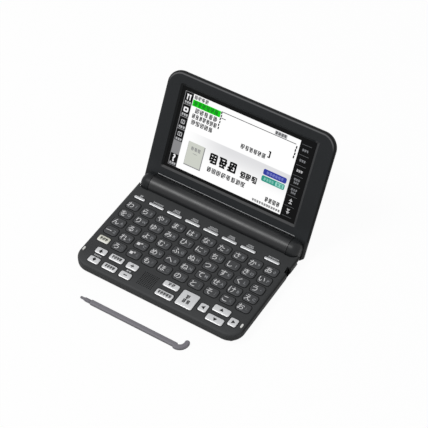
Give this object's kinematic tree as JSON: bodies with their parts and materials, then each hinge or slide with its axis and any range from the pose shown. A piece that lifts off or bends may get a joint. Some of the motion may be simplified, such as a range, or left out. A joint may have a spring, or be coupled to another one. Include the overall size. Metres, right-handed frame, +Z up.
{
  "type": "electronic dictionary",
  "caption": "Clamshell pocket electronic dictionary: screen lid on a battery barrel hinge, sprung letter and control keys, speaker grille, and a hooked stylus lying in front.",
  "frame": {"origin": "centre of the whole object's box in plan, on the table that the feet and the stylus stand on", "axes": "+Z up, +X to the reader's right along the hinge, +Y from the front of the keyboard towards the hinge and the open lid"},
  "size_m": [0.148, 0.172, 0.0937],
  "materials": {
    "case_plastic": "fine moulded texture, near black",
    "barrel_plastic": "satin, near black",
    "key_dark": "satin, dark grey",
    "key_light": "satin, silvery white",
    "key_beige": "satin, pale beige",
    "touch_glass": "black border, glossy",
    "display": "white",
    "board": "green solder mask",
    "rubber_pale": "translucent grey",
    "rubber_dark": "black",
    "steel": "plain",
    "cell_wrap": "plain blue sleeve",
    "socket_black": "black",
    "ribbon": "amber film",
    "stylus_grey": "satin, grey violet",
    "stylus_dark": "satin, dark grey",
    "bumper_white": "white"
  },
  "bodies": {
    "base": {"base_lower_case": "case_plastic", "keyboard_cover": "case_plastic", "hinge_barrel": "barrel_plastic", "battery_cells": "cell_wrap", "battery_contacts": "steel", "hinge_clutch_left": "steel", "hinge_clutch_right": "steel", "keypad_rubber": "rubber_pale", "main_board": "board", "speaker": "socket_black", "earphone_socket": "socket_black", "data_socket": "steel", "card_socket": "steel", "rubber_feet": "rubber_dark", "case_screws": "steel", "closing_bumpers": "bumper_white"},
    "lid": {"lid_back": "case_plastic", "screen_bezel": "case_plastic", "touch_panel": "touch_glass", "display_module": "display", "display_board": "board", "display_ribbon": "ribbon"},
    "battery_door": {"battery_cover": "barrel_plastic"},
    "stylus": {"stylus_body": "stylus_grey", "stylus_nib": "stylus_dark"},
    "kana_row_1_body": {"kana_row_1": "key_dark"},
    "kana_row_2_body": {"kana_row_2": "key_dark"},
    "kana_row_3_body": {"kana_row_3": "key_dark"},
    "kana_row_4_body": {"kana_row_4": "key_dark"},
    "kana_row_5_body": {"kana_row_5": "key_dark"},
    "power_key_body": {"power_key": "key_light"},
    "function_key_1_body": {"function_key_1": "key_light"},
    "function_key_2_body": {"function_key_2": "key_light"},
    "function_key_3_body": {"function_key_3": "key_light"},
    "function_key_4_body": {"function_key_4": "key_light"},
    "function_key_5_body": {"function_key_5": "key_light"},
    "function_key_6_body": {"function_key_6": "key_light"},
    "menu_key_body": {"menu_key": "key_light"},
    "shift_key_body": {"shift_key": "key_beige"},
    "page_up_key_body": {"page_up_key": "key_light"},
    "page_down_key_body": {"page_down_key": "key_light"},
    "jump_key_body": {"jump_key": "key_light"},
    "voice_key_body": {"voice_key": "key_light"},
    "volume_up_key_body": {"volume_up_key": "key_light"},
    "volume_down_key_body": {"volume_down_key": "key_light"},
    "back_key_body": {"back_key": "key_light"},
    "list_key_body": {"list_key": "key_light"},
    "enter_key_body": {"enter_key": "key_light"},
    "arrow_left_key_body": {"arrow_left_key": "key_light"},
    "arrow_up_key_body": {"arrow_up_key": "key_light"},
    "arrow_down_key_body": {"arrow_down_key": "key_light"},
    "arrow_right_key_body": {"arrow_right_key": "key_light"}
  },
  "joints": [
    {"name": "lid_hinge", "type": "hinge", "parent": "base", "child": "lid", "pos_m": [0, 0.035, 0.0094], "axis": [1, 0, 0], "range_deg": [-27.5, 117.5]},
    {"name": "battery_cover_pull", "type": "slide", "parent": "base", "child": "battery_door", "axis": [0, 0, -1], "range_m": [0, 0.01]},
    {"name": "stylus_lift", "type": "slide", "parent": "base", "child": "stylus", "axis": [0, 0, 1], "range_m": [0, 0.05]},
    {"name": "kana_row_1_press", "type": "slide", "parent": "base", "child": "kana_row_1_body", "axis": [0, 0, -1], "range_m": [0, 0.0008], "stiffness_N_per_m": 600},
    {"name": "kana_row_2_press", "type": "slide", "parent": "base", "child": "kana_row_2_body", "axis": [0, 0, -1], "range_m": [0, 0.0008], "stiffness_N_per_m": 600},
    {"name": "kana_row_3_press", "type": "slide", "parent": "base", "child": "kana_row_3_body", "axis": [0, 0, -1], "range_m": [0, 0.0008], "stiffness_N_per_m": 600},
    {"name": "kana_row_4_press", "type": "slide", "parent": "base", "child": "kana_row_4_body", "axis": [0, 0, -1], "range_m": [0, 0.0008], "stiffness_N_per_m": 600},
    {"name": "kana_row_5_press", "type": "slide", "parent": "base", "child": "kana_row_5_body", "axis": [0, 0, -1], "range_m": [0, 0.0008], "stiffness_N_per_m": 600},
    {"name": "power_key_press", "type": "slide", "parent": "base", "child": "power_key_body", "axis": [0, 0, -1], "range_m": [0, 0.0008], "stiffness_N_per_m": 600},
    {"name": "function_key_1_press", "type": "slide", "parent": "base", "child": "function_key_1_body", "axis": [0, 0, -1], "range_m": [0, 0.0008], "stiffness_N_per_m": 600},
    {"name": "function_key_2_press", "type": "slide", "parent": "base", "child": "function_key_2_body", "axis": [0, 0, -1], "range_m": [0, 0.0008], "stiffness_N_per_m": 600},
    {"name": "function_key_3_press", "type": "slide", "parent": "base", "child": "function_key_3_body", "axis": [0, 0, -1], "range_m": [0, 0.0008], "stiffness_N_per_m": 600},
    {"name": "function_key_4_press", "type": "slide", "parent": "base", "child": "function_key_4_body", "axis": [0, 0, -1], "range_m": [0, 0.0008], "stiffness_N_per_m": 600},
    {"name": "function_key_5_press", "type": "slide", "parent": "base", "child": "function_key_5_body", "axis": [0, 0, -1], "range_m": [0, 0.0008], "stiffness_N_per_m": 600},
    {"name": "function_key_6_press", "type": "slide", "parent": "base", "child": "function_key_6_body", "axis": [0, 0, -1], "range_m": [0, 0.0008], "stiffness_N_per_m": 600},
    {"name": "menu_key_press", "type": "slide", "parent": "base", "child": "menu_key_body", "axis": [0, 0, -1], "range_m": [0, 0.0008], "stiffness_N_per_m": 600},
    {"name": "shift_key_press", "type": "slide", "parent": "base", "child": "shift_key_body", "axis": [0, 0, -1], "range_m": [0, 0.0008], "stiffness_N_per_m": 600},
    {"name": "page_up_key_press", "type": "slide", "parent": "base", "child": "page_up_key_body", "axis": [0, 0, -1], "range_m": [0, 0.0008], "stiffness_N_per_m": 600},
    {"name": "page_down_key_press", "type": "slide", "parent": "base", "child": "page_down_key_body", "axis": [0, 0, -1], "range_m": [0, 0.0008], "stiffness_N_per_m": 600},
    {"name": "jump_key_press", "type": "slide", "parent": "base", "child": "jump_key_body", "axis": [0, 0, -1], "range_m": [0, 0.0008], "stiffness_N_per_m": 600},
    {"name": "voice_key_press", "type": "slide", "parent": "base", "child": "voice_key_body", "axis": [0, 0, -1], "range_m": [0, 0.0008], "stiffness_N_per_m": 600},
    {"name": "volume_up_key_press", "type": "slide", "parent": "base", "child": "volume_up_key_body", "axis": [0, 0, -1], "range_m": [0, 0.0008], "stiffness_N_per_m": 600},
    {"name": "volume_down_key_press", "type": "slide", "parent": "base", "child": "volume_down_key_body", "axis": [0, 0, -1], "range_m": [0, 0.0008], "stiffness_N_per_m": 600},
    {"name": "back_key_press", "type": "slide", "parent": "base", "child": "back_key_body", "axis": [0, 0, -1], "range_m": [0, 0.0008], "stiffness_N_per_m": 600},
    {"name": "list_key_press", "type": "slide", "parent": "base", "child": "list_key_body", "axis": [0, 0, -1], "range_m": [0, 0.0008], "stiffness_N_per_m": 600},
    {"name": "enter_key_press", "type": "slide", "parent": "base", "child": "enter_key_body", "axis": [0, 0, -1], "range_m": [0, 0.0008], "stiffness_N_per_m": 600},
    {"name": "arrow_left_key_press", "type": "slide", "parent": "base", "child": "arrow_left_key_body", "axis": [0, 0, -1], "range_m": [0, 0.0008], "stiffness_N_per_m": 600},
    {"name": "arrow_up_key_press", "type": "slide", "parent": "base", "child": "arrow_up_key_body", "axis": [0, 0, -1], "range_m": [0, 0.0008], "stiffness_N_per_m": 600},
    {"name": "arrow_down_key_press", "type": "slide", "parent": "base", "child": "arrow_down_key_body", "axis": [0, 0, -1], "range_m": [0, 0.0008], "stiffness_N_per_m": 600},
    {"name": "arrow_right_key_press", "type": "slide", "parent": "base", "child": "arrow_right_key_body", "axis": [0, 0, -1], "range_m": [0, 0.0008], "stiffness_N_per_m": 600}
  ]
}
